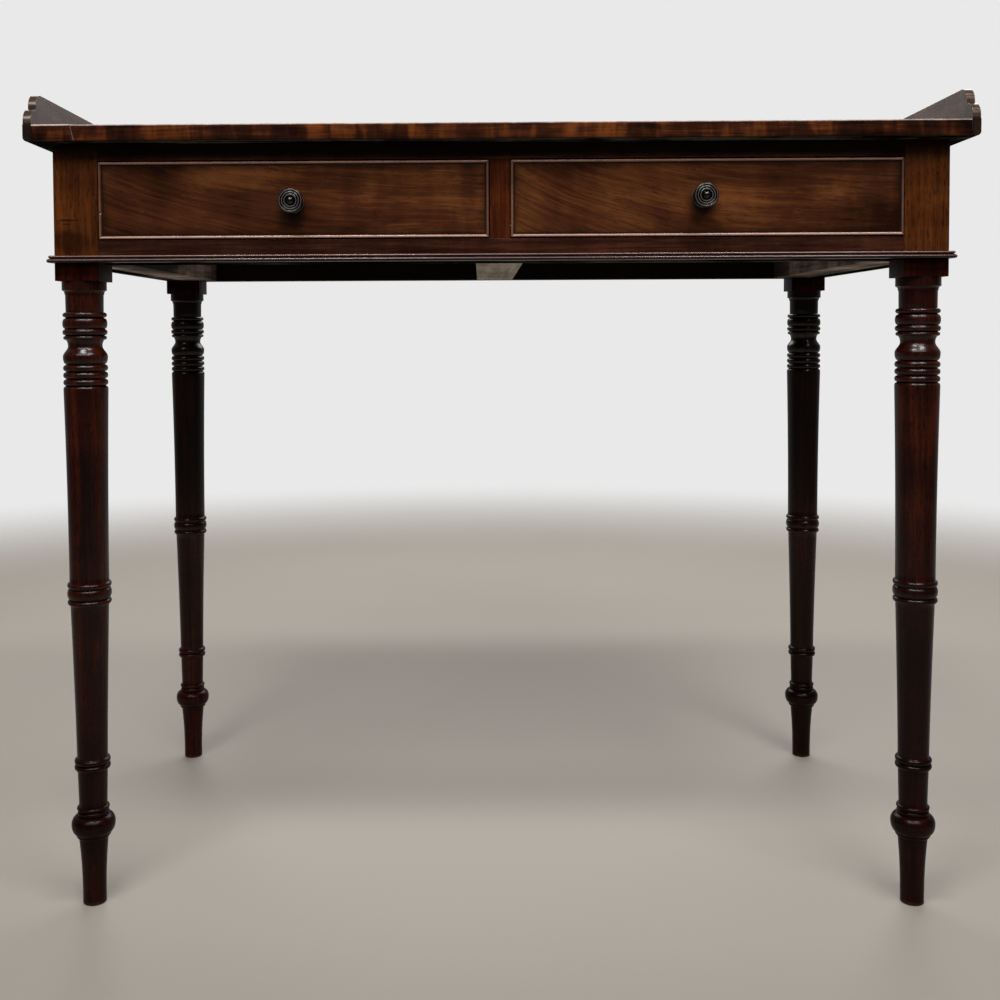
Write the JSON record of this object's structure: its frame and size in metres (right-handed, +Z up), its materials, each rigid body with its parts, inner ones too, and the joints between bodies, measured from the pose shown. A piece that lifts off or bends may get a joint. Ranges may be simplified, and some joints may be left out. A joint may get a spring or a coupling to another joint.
{
  "type": "writing table",
  "caption": "Writing table with drawers side by side, ring-turned tapering legs, a double bead under the frieze and a low stepped gallery round the top.",
  "frame": {"origin": "on the floor, under the middle of the table's bounding box", "axes": "+Z up, +X to the right of a person facing the drawers, and the drawers face -Y"},
  "size_m": [0.893, 0.482, 0.7915],
  "materials": {
    "top_mahogany": "polished, dark red-brown, mottled cross figure on the front edge",
    "gallery_mahogany": "polished, dark red-brown",
    "leg_mahogany": "polished, dark red-brown, nearly black in the grooves",
    "frieze_mahogany": "polished, brown with straight orange-brown grain",
    "bead_mahogany": "polished, dark, rubbed bright on the rounds",
    "cock_bead_mahogany": "polished, rubbed pale along the nose",
    "drawer_front_mahogany": "polished, figured, golden brown in a dark ground",
    "ebonised_wood": "polished black",
    "drawer_oak": "bare, aged",
    "inner_deal": "bare, aged and dusty",
    "iron": "dull, darkened"
  },
  "bodies": {
    "frame": {"top_board": "top_mahogany", "top_corner_patch": "top_mahogany", "top_strip_left": "gallery_mahogany", "top_strip_right": "gallery_mahogany", "gallery_left": "gallery_mahogany", "gallery_right": "gallery_mahogany", "gallery_back": "gallery_mahogany", "leg_front_left": "leg_mahogany", "leg_front_right": "leg_mahogany", "leg_rear_left": "leg_mahogany", "leg_rear_right": "leg_mahogany", "rail_top": "frieze_mahogany", "rail_bottom": "frieze_mahogany", "muntin": "frieze_mahogany", "side_frieze_left": "frieze_mahogany", "side_frieze_right": "frieze_mahogany", "back_frieze": "inner_deal", "bead_front": "bead_mahogany", "bead_left": "bead_mahogany", "bead_right": "bead_mahogany", "runner_left": "inner_deal", "runner_right": "inner_deal", "bearer": "inner_deal", "guide_left": "inner_deal", "guide_right": "inner_deal", "guide_middle": "inner_deal", "kicker_left": "inner_deal", "kicker_right": "inner_deal", "kicker_middle": "inner_deal", "drawer_stops": "frieze_mahogany", "glue_blocks": "inner_deal", "top_screws": "iron"},
    "drawer_left": {"drawer_front_left": "drawer_front_mahogany", "cock_top_left": "cock_bead_mahogany", "cock_bottom_left": "cock_bead_mahogany", "cock_outer_left": "cock_bead_mahogany", "cock_inner_left": "cock_bead_mahogany", "drawer_side_outer_left": "drawer_oak", "drawer_side_inner_left": "drawer_oak", "drawer_back_left": "drawer_oak", "drawer_bottom_left": "drawer_oak", "drawer_nails_left": "iron", "knob_left": "ebonised_wood"},
    "drawer_right": {"drawer_front_right": "drawer_front_mahogany", "cock_top_right": "cock_bead_mahogany", "cock_bottom_right": "cock_bead_mahogany", "cock_outer_right": "cock_bead_mahogany", "cock_inner_right": "cock_bead_mahogany", "drawer_side_outer_right": "drawer_oak", "drawer_side_inner_right": "drawer_oak", "drawer_back_right": "drawer_oak", "drawer_bottom_right": "drawer_oak", "drawer_nails_right": "iron", "knob_right": "ebonised_wood"}
  },
  "joints": [
    {"name": "drawer_left_slide", "type": "slide", "parent": "frame", "child": "drawer_left", "axis": [0, -1, 0], "range_m": [0, 0.3]},
    {"name": "drawer_right_slide", "type": "slide", "parent": "frame", "child": "drawer_right", "axis": [0, -1, 0], "range_m": [0, 0.3]}
  ]
}
